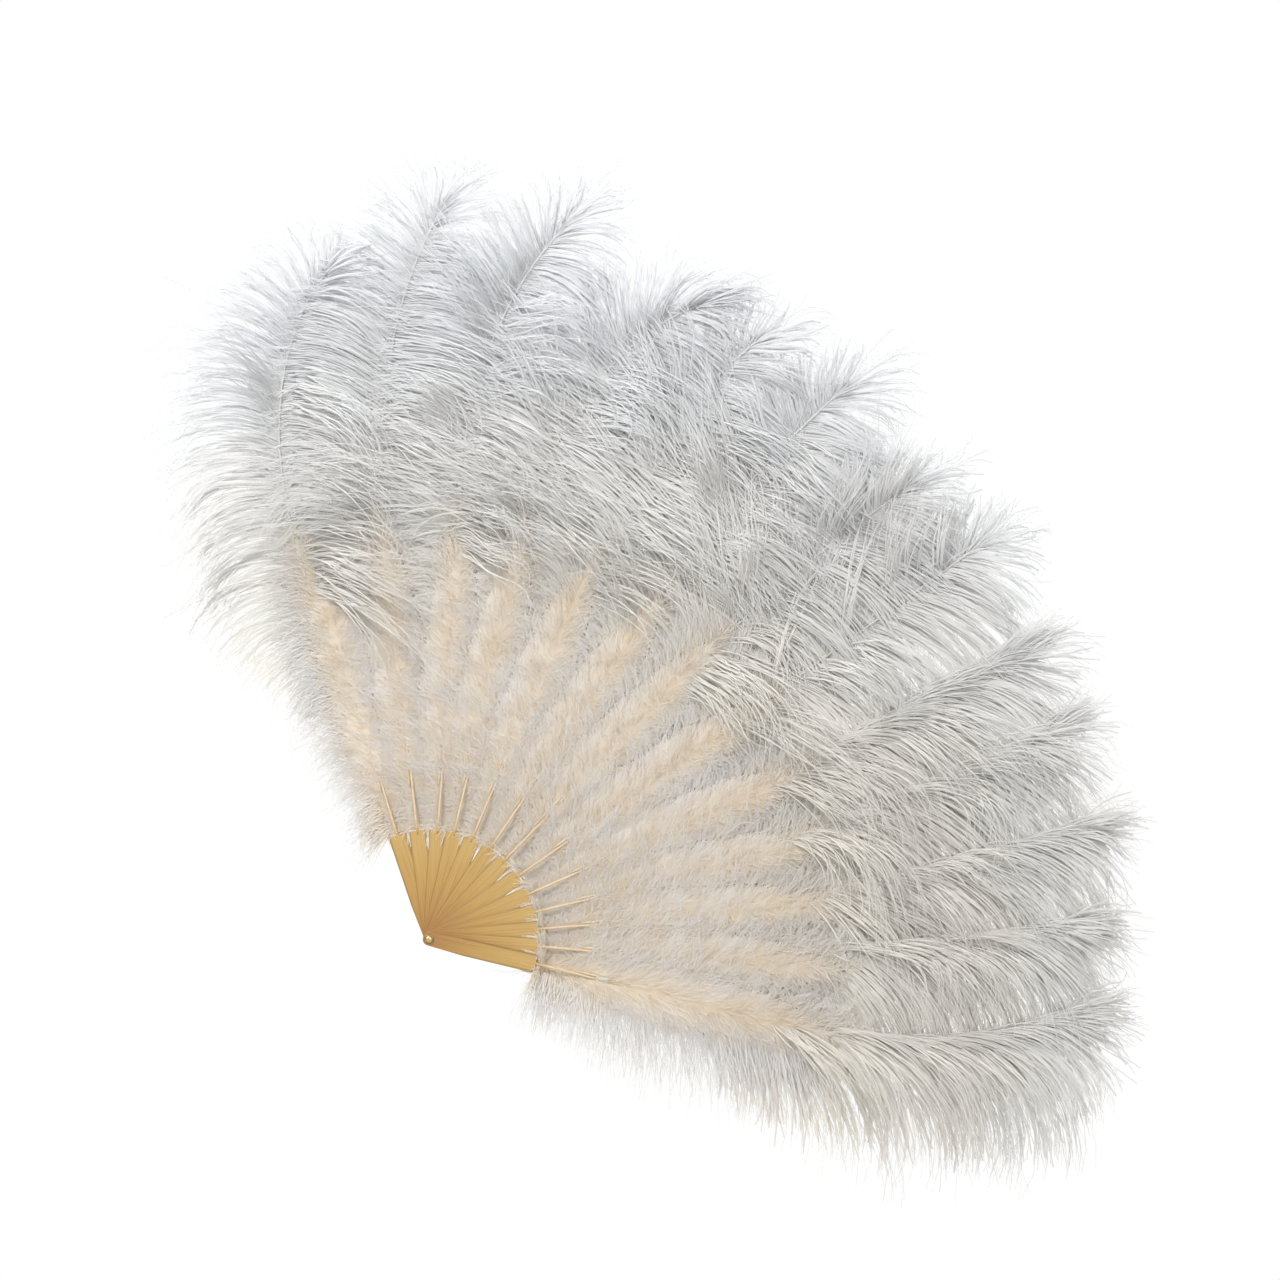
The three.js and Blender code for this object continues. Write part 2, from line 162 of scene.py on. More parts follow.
stave_length = 0.108
stave_thickness = 0.0013
guard_thickness = 0.0024
layer_gap = 0.0003
rod_length = 0.088
rod_end = stave_length + rod_length
rod_seat = 0.004
rod_radius = 0.0014
rod_tip_radius = 0.0009
rod_depth = 0.62
stand_up = Matrix.Rotation(math.pi / 2, 4, "X")


def layer_pitch(radius):
    """The distance from one layer of feathers to the next, which grows beyond the shoulder."""
    spread, reach = 0.005, 0.085
    share = np.maximum(0, radius - stave_length) / reach
    return stave_thickness + layer_gap + spread * share**2 / (1 + share**2)


def tip_curl(radius):
    """How far the plumes' outer ends curl towards the viewer."""
    start, reach, depth = 0.55, 0.185, 0.06
    share = np.maximum(0, radius - start) / reach
    return depth * share**2 / (1 + share**2)


def layer_height(layer, radius):
    """How far a layer lies towards the viewer from the middle of the stack."""
    return (middle_layer - layer) * layer_pitch(radius) + tip_curl(radius)


def stave_half(layer):
    return (guard_thickness if layer in (0, stave_count - 1) else stave_thickness) / 2


def stave_height(layer):
    extra = stave_half(layer) - stave_thickness / 2
    return layer_height(layer, 0.0) + math.copysign(extra, middle_layer - layer)


def rod_height(layer, along):
    """The height of a rod's middle, which follows its layer from the stave's own height."""
    return stave_height(layer) + layer_height(layer, along) - layer_height(layer, 0.0)


def profile_of(name, corners):
    """A flat closed outline for strands, from corners that run clockwise."""
    curve = bpy.data.curves.new(name, "CURVE")
    spline = curve.splines.new("POLY")
    spline.points.add(len(corners) - 1)
    for point, (x, y) in zip(spline.points, corners):
        point.co = (x, y, 0, 1)
    spline.use_cyclic_u = True
    return placed(name, curve)


def round_profile(sides, depth=1.0):
    turns = [-2 * math.pi * i / sides for i in range(sides)]
    return profile_of("outline", [(math.cos(t), depth * math.sin(t)) for t in turns])


def strands(name, groups, outline, twist="Z_UP", rounded=False):
    """One mesh of thin tapered strands. A group holds places (strands, points, 3), drawn flat on X and Y
    with Z towards the viewer, and radii (strands, points). The mesh is then stood up."""
    curve = bpy.data.curves.new(name, "CURVE")
    curve.dimensions = "3D"
    curve.twist_mode = twist
    curve.bevel_mode = "OBJECT"
    curve.bevel_object = outline
    curve.use_fill_caps = True
    for places, radii in groups:
        weighted = np.concatenate([places, np.ones((*places.shape[:2], 1))], axis=2)
        for path, radius in zip(weighted, radii):
            spline = curve.splines.new("POLY")
            spline.points.add(len(path) - 1)
            spline.points.foreach_set("co", path.ravel())
            spline.points.foreach_set("radius", radius)
    drawn = placed(name, curve)
    graph = bpy.context.evaluated_depsgraph_get()
    mesh = bpy.data.meshes.new_from_object(drawn.evaluated_get(graph))
    bpy.data.objects.remove(drawn)
    bpy.data.curves.remove(curve)
    bm = bmesh.new()
    bm.from_mesh(mesh)
    bmesh.ops.remove_doubles(bm, verts=bm.verts, dist=1e-7)
    bmesh.ops.transform(bm, verts=bm.verts, matrix=stand_up)
    for face in bm.faces:
        face.smooth = rounded
    bm.to_mesh(mesh)
    bm.free()
    mesh.name = name
    return mesh


def dressed(name, mesh, material, layer, node):
    """Puts a finished mesh in the scene, riding on its blade and standing for the solid it replaces."""
    piece = placed(name, mesh)
    mesh.materials.clear()
    mesh.materials.append(material)
    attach(piece, f"blade_{layer + 1:02d}")
    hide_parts(node)


def object_place(tree):
    return add_node(tree, "ShaderNodeTexCoord", {}).outputs["Object"]


def rivet_distance(tree, place):
    """How far a place lies from the rivet's axis."""
    flat = add_node(tree, "ShaderNodeVectorMath", {0: place, 1: (1, 0, 1)}, "MULTIPLY")
    return add_node(tree, "ShaderNodeVectorMath", {0: flat.outputs[0]}, "LENGTH").outputs["Value"]


def noise(tree, place, scale, detail=2.0, roughness=0.5):
    inputs = {"Vector": place, "Scale": scale, "Detail": detail, "Roughness": roughness}
    return add_node(tree, "ShaderNodeTexNoise", inputs).outputs["Fac"]


def ranged(tree, value, low=0.0, high=1.0, start=0.0, end=1.0):
    """Maps what lies between low and high to what lies between start and end."""
    inputs = {"Value": value, "From Min": low, "From Max": high, "To Min": start, "To Max": end}
    return add_node(tree, "ShaderNodeMapRange", inputs).outputs[0]


def ramp(tree, value, stops):
    """The colour that a value picks from the colours at the stops."""
    made = add_node(tree, "ShaderNodeValToRGB", {0: value})
    elements = made.color_ramp.elements
    while len(elements) < len(stops):
        elements.new(0.5)
    for element, (place, color) in zip(elements, stops):
        element.position = place
        element.color = (*color, 1)
    return made.outputs[0]


def mixed(tree, blend, factor, color, other):
    """Two colours mixed. The colours are a Mix node's inputs 6 and 7, and the result is its output 2."""
    node = tree.nodes.new("ShaderNodeMix")
    node.data_type = "RGBA"
    node.blend_type = blend
    return feed(tree, node, {"Factor": factor, 6: color, 7: other}).outputs[2]


def bumped(tree, height, strength, distance):
    inputs = {"Height": height, "Strength": strength, "Distance": distance}
    return add_node(tree, "ShaderNodeBump", inputs).outputs[0]


def bamboo_material(name, angle, seed):
    """Pale bamboo with fine dark fibres along the stave, more golden towards the rivet, and with painted
    shade along the stave's long edges, where each stave overlaps its neighbour."""
    material, tree, shader = new_material(name)
    place = object_place(tree)
    shift = (seed * 0.37, seed * 0.011, 0)
    inputs = {"Vector": place, "Location": shift, "Rotation": (0, angle, 0)}
    turned = add_node(tree, "ShaderNodeMapping", inputs).outputs[0]
    stretched = add_node(tree, "ShaderNodeVectorMath", {0: turned, 1: (14, 700, 1500)}, "MULTIPLY")
    fibres = noise(tree, stretched.outputs[0], 1.0, 5.0, 0.65)
    share = maths(tree, "MULTIPLY", rivet_distance(tree, place), 1 / rod_end)
    along = ramp(tree, share, [(0.0, (0.46, 0.24, 0.08)), (0.3, (0.62, 0.39, 0.13)),
                               (0.55, (0.69, 0.47, 0.18)), (0.62, (0.84, 0.66, 0.44)),
                               (1.0, (0.86, 0.70, 0.52))])
    grain = ramp(tree, fibres, [(0.3, (0.66, 0.55, 0.42)), (0.5, (0.93, 0.9, 0.85)), (0.7, (1, 1, 1))])
    aside = maths(tree, "ABSOLUTE", add_node(tree, "ShaderNodeSeparateXYZ", {0: turned}).outputs["Z"])
    # The darkening along the long edges is painted shade: it stands in for the contact shadow where each
    # stave overlaps its neighbour.
    rim = ranged(tree, aside, 0.0064, 0.0086, 1.0, 0.55)
    color = mixed(tree, "MULTIPLY", 1.0, mixed(tree, "MULTIPLY", 0.85, along, grain), rim)
    feed(tree, shader, {"Base Color": color, "Roughness": ranged(tree, fibres, 0.0, 1.0, 0.5, 0.34),
                        "Normal": bumped(tree, fibres, 0.25, 0.0003)})
    return material


def stave_mesh(name, layer):
    """The flat stave: its outline is filled, given its thickness, eased along its edges and bored."""
    guard = layer in (0, stave_count - 1)
    head, neck, end = (0.0065, 0.0086, 0.00925) if guard else (0.006, 0.0076, 0.0085)
    neck_at, corner, ease, bore, drill_length = 0.036, 0.0022, 0.0003, 0.0022, 0.06
    half = stave_half(layer)
    turns = [math.pi / 2 + math.pi * i / 16 for i in range(17)]
    outline = [(head * math.cos(t), head * math.sin(t)) for t in turns]
    lower = [(stave_length - corner * (1 - math.sin(t)), -end + corner * (1 - math.cos(t)))
             for t in [math.pi / 2 * i / 4 for i in range(5)]]
    outline += [(neck_at, -neck), *lower]
    outline += [(x, -y) for x, y in reversed(lower)] + [(neck_at, neck)]
    bm = bmesh.new()
    face = bm.faces.new([bm.verts.new((x, y, -half)) for x, y in outline])
    extruded = bmesh.ops.extrude_face_region(bm, geom=[face])["geom"]
    raised = [v for v in extruded if isinstance(v, bmesh.types.BMVert)]
    bmesh.ops.translate(bm, verts=raised, vec=(0, 0, 2 * half))
    bmesh.ops.recalc_face_normals(bm, faces=bm.faces)
    rims = [e for e in bm.edges if abs(e.verts[0].co.z - e.verts[1].co.z) < half]
    bmesh.ops.bevel(bm, geom=rims, offset=ease, segments=2, profile=0.5, affect="EDGES", material=-1)
    turn = Matrix.Rotation(stave_angles[layer], 3, "Z")
    bmesh.ops.rotate(bm, verts=bm.verts, cent=(0, 0, 0), matrix=turn)
    bmesh.ops.translate(bm, verts=bm.verts, vec=(0, 0, stave_height(layer)))
    bmesh.ops.transform(bm, verts=bm.verts, matrix=stand_up)
    whole = placed(name, mesh_of(name, bm))
    bm = bmesh.new()
    bmesh.ops.create_cone(bm, cap_ends=True, segments=32, radius1=bore, radius2=bore, depth=drill_length)
    bmesh.ops.transform(bm, verts=bm.verts, matrix=stand_up)
    drill = placed("drill", mesh_of("drill", bm))
    cut = whole.modifiers.new("bore", "BOOLEAN")
    cut.object = drill
    cut.solver = "EXACT"
    graph = bpy.context.evaluated_depsgraph_get()
    bored = bpy.data.meshes.new_from_object(whole.evaluated_get(graph))
    bpy.data.objects.remove(whole)
    bpy.data.objects.remove(drill)
    bored.name = name
    return bored


def on_stave(layer, along, lateral):
    """Places on a stave's own axis, turned to where the stave points: (points, 2)."""
    a = stave_angles[layer]
    x = along * math.cos(a) - lateral * math.sin(a)
    return np.stack([x, along * math.sin(a) + lateral * math.cos(a)], -1)


def with_height(flat, height):
    return np.concatenate([flat, height[..., None]], axis=-1)


def rod_mesh(name, layer, outline):
    """The rod starts inside the stave's end, so that it seats there, and follows its layer."""
    along = np.linspace(stave_length - rod_seat, rod_end, 16)
    share = np.clip((along - stave_length) / rod_length, 0, 1)
    places = with_height(on_stave(layer, along, np.zeros_like(along)), rod_height(layer, along))
    radii = rod_radius + (rod_tip_radius - rod_radius) * share
    radii[-1] *= 0.5
    return strands(name, [(places[None], radii[None])], outline, rounded=True)


rod_outline = round_profile(12, rod_depth)
for layer in range(stave_count):
    number = f"{layer + 1:02d}"
    node = {0: "front_guard", stave_count - 1: "rear_guard"}.get(layer, f"stave_{number}")
    material = bamboo_material(f"bamboo_{number}", stave_angles[layer], layer)
    dressed(f"{node}_slat", stave_mesh(f"{node}_slat", layer), material, layer, node)
    rod = rod_mesh(f"rod_{number}", layer, rod_outline)
    dressed(f"rod_{number}", rod, material, layer, node)
bpy.data.objects.remove(rod_outline)


# The rivet: one brass pin through every stave, with a domed head in front and a flatter, peened one
# behind. It turns with the front guard.
head_near = 0.01255
head_height = 0.0015
head_radius = 0.0034
pin_radius = 0.0019
peen_spread = 0.7
peen_drop = 1.4
turned_steps = 48


def turned_mesh(name, profile):
    """A body turned about the rivet's axis from (radius, place along the axis) pairs."""
    bm = bmesh.new()
    verts = [bm.verts.new((radius, along, 0)) for radius, along in profile]
    edges = [bm.edges.new(pair) for pair in zip(verts, verts[1:])]
    bmesh.ops.spin(bm, geom=verts + edges, cent=(0, 0, 0), axis=(0, 1, 0), angle=2 * math.pi,
                   steps=turned_steps, use_merge=True)
    bmesh.ops.remove_doubles(bm, verts=bm.verts, dist=1e-6)
    bmesh.ops.recalc_face_normals(bm, faces=bm.faces)
    for face in bm.faces:
        face.smooth = True
    return mesh_of(name, bm)


def metal_material(name, bright, dull, rough):
    """Worn metal: dull where the noise is low, brighter where hands have rubbed it."""
    material, tree, shader = new_material(name)
    wear = noise(tree, object_place(tree), 900, 4)
    feed(tree, shader, {"Base Color": ramp(tree, wear, [(0.38, dull), (0.6, bright)]), "Metallic": 1.0,
                        "Roughness": ranged(tree, wear, 0.0, 1.0, rough + 0.15, rough),
                        "Normal": bumped(tree, wear, 0.2, 0.0001)})
    return material


quarter = [math.pi / 2 * i / 8 for i in range(9)]
domed = [(head_radius * math.sin(t), -head_near - head_height * math.cos(t)) for t in quarter]
peened = [(head_radius * math.sin(t) ** peen_spread, head_near + head_height * math.cos(t) ** peen_drop)
          for t in reversed(quarter)]
rivet = turned_mesh("rivet_turned", [*domed, (pin_radius, -head_near), (pin_radius, head_near), *peened])
brass = metal_material("brass", (0.70, 0.51, 0.24), (0.42, 0.28, 0.12), 0.3)
dressed("rivet_turned", rivet, brass, 0, "pivot_rivet")


# The washers: thin bronze rings stamped from sheet, with eased rims. One lies under each head of the
# rivet, loose on the pin.
washer_radius = 0.0046
washer_bore = 0.0022
washer_near = 0.01165
washer_thickness = 0.0006
washer_ease = 0.00015

washer_far = washer_near + washer_thickness
washer_face = washer_radius - washer_ease
half_ring = [(washer_bore, washer_near), (washer_face, washer_near),
             (washer_radius, washer_near + washer_ease), (washer_radius, washer_far - washer_ease),
             (washer_face, washer_far), (washer_bore, washer_far), (washer_bore, washer_near)]
bronze = metal_material("bronze", (0.36, 0.25, 0.15), (0.17, 0.11, 0.07), 0.38)
for side, node in ((-1, "front_washer"), (1, "rear_washer")):
    ring = turned_mesh(f"{node}_ring", [(radius, side * along) for radius, along in half_ring])
    dressed(f"{node}_ring", ring, bronze, 0, node)


# The bindings: cotton thread wound tightly round each rod and the quill that lies against it. They hold
# every plume to its stave.
binding_start = 0.1705
binding_end = 0.1835
thread_radius = 0.0003
thread_spacing = 1.9 * thread_radius
turn_points = 10
wrap_side = 0.0013
wrap_width = 0.0028
wrap_depth = 0.0012


def binding_mesh(name, layer, outline):
    """One thread wound in close turns round the oval that rod and quill make together."""
    turns = int((binding_end - binding_start) / thread_spacing)
    share = np.linspace(0, 1, turns * turn_points + 1)
    round_turn = 2 * math.pi * turns * share
    along = binding_start + (binding_end - binding_start) * share
    flat = on_stave(layer, along, wrap_side + wrap_width * np.cos(round_turn))
    places = with_height(flat, rod_height(layer, along) + wrap_depth * np.sin(round_turn))
    radii = np.full_like(share, thread_radius)
    return strands(name, [(places[None], radii[None])], outline, "MINIMUM", rounded=True)


def thread_material():
    material, tree, shader = new_material("cotton_thread")
    fibres = noise(tree, object_place(tree), 1500)
    tone = ramp(tree, fibres, [(0.35, (0.78, 0.72, 0.62)), (0.65, (0.90, 0.86, 0.78))])
    feed(tree, shader, {"Base Color": tone, "Roughness": 0.8,
                        "Normal": bumped(tree, fibres, 0.3, 0.0001)})
    return material


thread_outline = round_profile(6)
cotton = thread_material()
for layer in range(stave_count):
    number = f"{layer + 1:02d}"
    thread = binding_mesh(f"thread_{number}", layer, thread_outline)
    dressed(f"thread_{number}", thread, cotton, layer, f"binding_{number}")
bpy.data.objects.remove(thread_outline)


# The ostrich plumes' quills: a tapered shaft of horn, a little flatter than round and fine at the tip,
# bound to the rod near its end. Cream at the foot and nearly white at the tip.
plume_length = 0.475
foot_radius = 0.204
quill_side = 0.0028
quill_start = 0.153
settle_start = 0.184
bare_thickness = 0.0011
quill_thickness = 0.0012
tip_thickness = 0.0004
line_steps = 240
steps_per_point = 6
# From the front guard's plume to the rear guard's: the length as a share of plume_length, the lean of
# the foot away from the stave, and the bend from there to the tip, in degrees.
plume_shares = [0.94, 0.91, 0.95, 0.94, 0.95, 0.99, 0.96, 1.02, 1.02, 1.10, 1.14, 1.14, 1.06]
plume_leans = [-2, 4, 3, 3, 0, 0, -1, 0, 0, 2, 3, 0, 4]
plume_bends = [42, 14, 14, 12, 6, 2, -12, -16, -30, -62, -46, -40, -62]


def smooth(share):
    """Eases from nought to one as the share does."""
    share = np.clip(share, 0, 1)
    return share * share * (3 - 2 * share)


def quill_line(layer):
    """Places, headings and shares along the barbed stretch of a quill, which bends most at its tip."""
    share = np.linspace(0, 1, line_steps + 1)
    lean, bend = math.radians(plume_leans[layer]), math.radians(plume_bends[layer])
    heading = stave_angles[layer] + lean + bend * share**2.5
    step = plume_length * plume_shares[layer] / line_steps
    mid = (heading[1:] + heading[:-1]) / 2
    moves = np.stack([np.cos(mid), np.sin(mid)], -1) * step
    foot = on_stave(layer, np.array(foot_radius), np.array(quill_side))
    places = np.concatenate([foot[None], foot + np.cumsum(moves, axis=0)])
    return places, heading, share


def plume_height(layer, flat):
    """A plume's height over the middle plane, in the rear half of its layer."""
    radius = np.linalg.norm(flat, axis=-1)
    return layer_height(layer, radius) - layer_pitch(radius) / 4


def horn_material():
    material, tree, shader = new_material("quill_horn")
    place = object_place(tree)
    wander = maths(tree, "MULTIPLY_ADD", noise(tree, place, 60), 0.12, rivet_distance(tree, place))
    tone = ramp(tree, wander, [(0.2, (0.80, 0.66, 0.42)), (0.45, (0.80, 0.70, 0.52)),
                               (0.62, (0.82, 0.80, 0.75)), (0.8, (0.88, 0.88, 0.87))])
    feed(tree, shader, {"Base Color": tone, "Roughness": 0.35})
    return material


def quill_mesh(name, layer, outline):
    """The bare foot lies on the rod as far as the binding, and then settles into the plume's layer. The
    shaft stands a little out of its barbs from where the down leaves it free."""
    free_start, free_reach, free_rise = 0.4, 0.06, 0.003
    flat, heading, share = quill_line(layer)
    keep = np.arange(0, line_steps + 1, steps_per_point)
    bare = np.linspace(quill_start, foot_radius, 8)[:-1]
    bare_flat = on_stave(layer, bare, np.full_like(bare, quill_side))
    on_rod = rod_height(layer, bare)
    settle = smooth((bare - settle_start) / (foot_radius - settle_start))
    bare_height = on_rod + (plume_height(layer, bare_flat) - on_rod) * settle
    places = np.concatenate([bare_flat, flat[keep]])
    raised = free_rise * smooth((np.linalg.norm(flat[keep], axis=-1) - free_start) / free_reach)
    height = np.concatenate([bare_height, plume_height(layer, flat[keep]) + raised])
    shaft = quill_thickness + (tip_thickness - quill_thickness) * share[keep]
    radii = np.concatenate([np.full_like(bare, bare_thickness), shaft])
    radii[0] *= 0.4
    return strands(name, [(with_height(places, height)[None], radii[None])], outline, rounded=True)


quill_outline = round_profile(8, 0.8)
horn = horn_material()
for layer in range(stave_count):
    number = f"{layer + 1:02d}"
    quill = quill_mesh(f"quill_{number}", layer, quill_outline)
    dressed(f"quill_{number}", quill, horn, layer, f"plume_{number}")
bpy.data.objects.remove(quill_outline)


# The ostrich plumes' barbs: long soft strands on both sides of each quill, which hook on to nothing,
# so they gather into locks and hang over under their own weight. White, warmer near the staves and
# cooler on the fan's left.
barb_points = 8
upper_length = 0.115
lower_length = 0.15
head_start, head_reach = 0.92, 0.08
tip_angle = math.radians(8)
lock_points = 10
lock_size = 24
fluff_count = 360
fluff_points = 6
# How far the barbs sink towards the back under the down plumes.
under_down = 0.009
front_limit = 0.079
rear_limit = -0.051
sway_places = np.linspace(0, 1, 8)
barb_seed = 100
# Three sets of barbs on each side: their count, how many make a lock, half their width, their reach and
# how far they lie behind the plume's layer. The first is the broad, even cover at the back.
barb_sets = [(170, 4, 0.0017, 0.94, 0.003), (230, 7, 0.0008, 0.98, 0.0), (290, 12, 0.0005, 1.08, -0.001)]
cover_wildness = 0.3
# For each plume, the number of locks that fall forwards, and how loosely its barbs hang.
plume_locks = [4, 4, 5, 6, 6, 4, 7, 8, 8, 7, 7, 6, 8]
plume_wildness = [0.4, 0.4, 0.5, 0.55, 0.6, 0.45, 0.95, 1.05, 1.05, 0.9, 0.7, 0.5, 0.4]


def strand_random(tree):
    """A number of its own for each strand."""
    return add_node(tree, "ShaderNodeNewGeometry", {}).outputs["Random Per Island"]


def soft_surface(tree, shader, color, roughness):
    """A surface that some light passes through, as it does through fine strands."""
    passed, shine = 0.28, 0.15
    feed(tree, shader, {"Base Color": color, "Roughness": roughness, "Specular IOR Level": shine})
    clear = add_node(tree, "ShaderNodeBsdfTranslucent", {"Color": color})
    both = add_node(tree, "ShaderNodeMixShader", {0: passed, 1: shader.outputs[0], 2: clear.outputs[0]})
    tree.links.new(both.outputs[0], tree.nodes["Material Output"].inputs["Surface"])


def feather_material(name, near, far, near_radius, far_radius):
    """Soft barbs with fine streaks, and painted shade at their roots, where others cover them. The near
    and far colours blend by distance from the rivet."""
    drift = 0.16
    material, tree, shader = new_material(name)
    place = object_place(tree)
    wander = maths(tree, "MULTIPLY_ADD", noise(tree, place, 14, 3), drift, rivet_distance(tree, place))
    blend = ranged(tree, wander, near_radius + drift / 2, far_radius + drift / 2)
    tone = ramp(tree, blend, [(0.0, near), (1.0, far)])
    own_number = strand_random(tree)
    shaded = mixed(tree, "MULTIPLY", 1.0, tone, ranged(tree, own_number, 0.0, 1.0, 0.92))
    own = add_node(tree, "ShaderNodeUVMap", {}).outputs[0]
    combed = add_node(tree, "ShaderNodeVectorMath", {0: own, 1: (3, 16, 0)}, "MULTIPLY").outputs[0]
    barbules = tree.nodes.new("ShaderNodeTexNoise")
    barbules.noise_dimensions = "4D"
    feed(tree, barbules, {"Vector": combed, "W": maths(tree, "MULTIPLY", own_number, 500), "Scale": 1.0,
                          "Detail": 2})
    streak = ranged(tree, barbules.outputs["Fac"], 0.35, 0.6, 0.95)
    streaked = mixed(tree, "MULTIPLY", 1.0, shaded, streak)
    # The roots are darkened with painted shade, which stands in for the shadow of the barbs that lie
    # over them.
    from_root = add_node(tree, "ShaderNodeSeparateXYZ", {0: own}).outputs["X"]
    root_shaded = mixed(tree, "MULTIPLY", 1.0, streaked, ranged(tree, from_root, 0.0, 0.4, 0.88))
    soft_surface(tree, shader, root_shaded, 0.75)
    return material


def leaving_angle(heading, side, at):
    """How far the strands lean out where they leave the quill: least on a level plume, and most near
    the foot, where they are softest."""
    level = np.degrees(heading)
    above = np.interp(level, [-15, 22, 38, 90], [18, 24, 60, 62])
    below = np.clip(25 + 0.55 * level, 20, 75) + 48 * (1 - at) * smooth((level - 5) / 70)
    return np.radians(above if side > 0 else below)


def hanging_turn(heading, side):
    """The turn from a quill's heading to where its strands' tips point once they hang. Below the quill
    they hang towards the ground. Above it they fall forwards over a level quill, stand out from a
    slanting one and hang outwards from a steep one."""
    level = np.degrees(heading)
    above = np.interp(level, [-15, 5, 24, 38, 65, 95, 110], [-66, -84, -100, 52, 108, 138, 135])
    below = level + 88 - 0.2 * np.maximum(level, 0)
    return np.radians(above if side > 0 else below)


def bent_paths(roots, first, last, lengths, points, sag, hook=0.0):
    """Flat paths that leave their roots on the first heading and end on the last, with a hook at
    their tips: (strands, points, 2)."""
    share = np.linspace(0, 1, points)
    mid = (share[1:] + share[:-1]) / 2
    heading = first[:, None] + (last - first)[:, None] * mid[None] ** sag
    heading = heading + np.asarray(hook)[..., None] * smooth((mid[None] - 0.6) / 0.4)
    moves = np.stack([np.cos(heading), np.sin(heading)], -1) * (lengths / (points - 1))[:, None, None]
    return np.concatenate([roots[:, None], roots[:, None] + np.cumsum(moves, axis=1)], axis=1)


def rippled(flat, size, phase, waves):
    """Gives each strand a slight wave that grows towards its tip."""
    share = np.linspace(0, 1, flat.shape[1])[None]
    away = np.gradient(flat, axis=1)
    away /= np.maximum(np.linalg.norm(away, axis=-1, keepdims=True), 1e-9)
    shift = (size[:, None] * share * np.sin(phase[:, None] + share * waves[:, None]))[..., None]
    return flat + np.stack([-away[..., 1], away[..., 0]], -1) * shift


def on_quill(layer, share):
    """Roots and headings at shares along a quill."""
    line, headings, _ = quill_line(layer)
    rows, at = np.arange(line_steps + 1), share * line_steps
    roots = np.stack([np.interp(at, rows, line[:, k]) for k in (0, 1)], -1)
    return roots, np.interp(at, rows, headings)


def side_barbs(draw, layer, side, count, gathered, thickness, reach, behind, wild, sway):
    """The barbs on one side of a quill, gathered into locks that share their length, droop and bulge."""
    spots = (np.arange(count) + draw.uniform(-0.3, 0.3, count)) / count
    share = np.clip(0.1 + 0.9 * spots, 0, 1)
    lock = np.floor(np.arange(count) / gathered + draw.uniform(0, 1)).astype(int)
    lock_count = lock.max() + 1

    def in_lock(low, high):
        return draw.uniform(low, high, lock_count)[lock]

    centre = np.array([share[lock == each].mean() for each in range(lock_count)])[lock]
    stretch = in_lock(1 - 0.2 * wild, 1 + 0.15 * wild)
    droop = in_lock(1 - 0.35 * wild, 1 + 0.2 * wild)
    swing = in_lock(-0.2, 0.2) * wild
    gather = in_lock(0.05, 0.2 + 0.7 * wild)
    loose = in_lock(0, 1) < 0.2 * (wild - 0.25)
    wave_phase, wave_count = in_lock(0, 2 * math.pi), in_lock(4, 9)
    share_now = np.linspace(0, 1, barb_points)[None]
    forward = 1 - smooth((np.degrees(on_quill(layer, centre)[1]) - 22) / 16)

    def paths(at, jitter):
        roots, heading = on_quill(layer, at)
        head = smooth((at - head_start) / head_reach)
        leave = leaving_angle(heading, side, at)
        leave += (tip_angle - leave) * head
        turn = hanging_turn(heading, side) * (1 - (0.35 if side > 0 else 0.2) * at**4)
        turn *= 1 - 0.75 * head
        turn *= 1 + 0.3 * wild * np.interp(at, sway_places, sway)
        first_jitter = jitter * draw.normal(0, 0.06, count) * (1 + 4 * head)
        last_jitter = jitter * draw.normal(0, 0.16, count)
        first = heading + side * (leave + 0.4 * swing + first_jitter)
        last = heading + side * (leave + (turn - leave) * droop + swing + last_jitter)
        foot, taper_start, taper_reach = (0.05, 0.65, 0.35) if side > 0 else (0.16, 0.75, 0.25)
        body = smooth((at + foot) / 0.42) * (1 - 0.62 * smooth((at - taper_start) / taper_reach))
        whole = upper_length * (1 + 0.2 * forward) if side > 0 else lower_length
        length = whole * reach * (0.25 + 0.75 * body) * (1 - 0.15 * head) * stretch
        lengths = length * np.where(loose, 1.15, 1.0) * (1 + jitter * draw.normal(0, 0.1, count))
        hook = side * jitter * draw.normal(0.35, 0.6, count) * wild
        return bent_paths(roots, first, last, lengths, barb_points, 1.0, hook)

    own, shared = paths(share, 1.0), paths(centre, 0.0)
    gather = gather * (1 - 0.7 * smooth((share - 0.88) / 0.12))
    flat = own + (shared - own) * gather[:, None, None] * share_now[..., None] ** 1.6
    flat = rippled(flat, in_lock(0.0005, 0.004), wave_phase + draw.normal(0, 0.3, count), wave_count)
    size, phase, waves = [draw.uniform(*span, count) for span in ((0, 0.0016), (0, 6), (6, 12))]
    flat = rippled(flat, size, phase, waves)
    tilt = in_lock(-0.008, 0.003) + 0.012 * forward if side > 0 else in_lock(0.003, 0.018)
    tilt = np.where(loose, np.abs(tilt) + 0.008, tilt)
    lift = tilt[:, None] * np.sin(2.9 * share_now**0.75)
    lift = lift + draw.normal(0, 0.0015, count)[:, None] * share_now
    root_radius = np.linalg.norm(flat[:, :1], axis=-1) + in_lock(-0.02, 0.04)[:, None]
    by_root = smooth((0.42 - root_radius) / 0.1)
    low = np.maximum(by_root, smooth((0.46 - np.linalg.norm(flat, axis=-1)) / 0.08))
    height = plume_height(layer, flat) + (lift - behind) * (1 - low) - under_down * low
    width = thickness * draw.uniform(0.7, 1.15, count)
    radii = width[:, None] * (1 - 0.6 * share_now**2)
    return with_height(flat, np.clip(height, rear_limit, front_limit)), radii


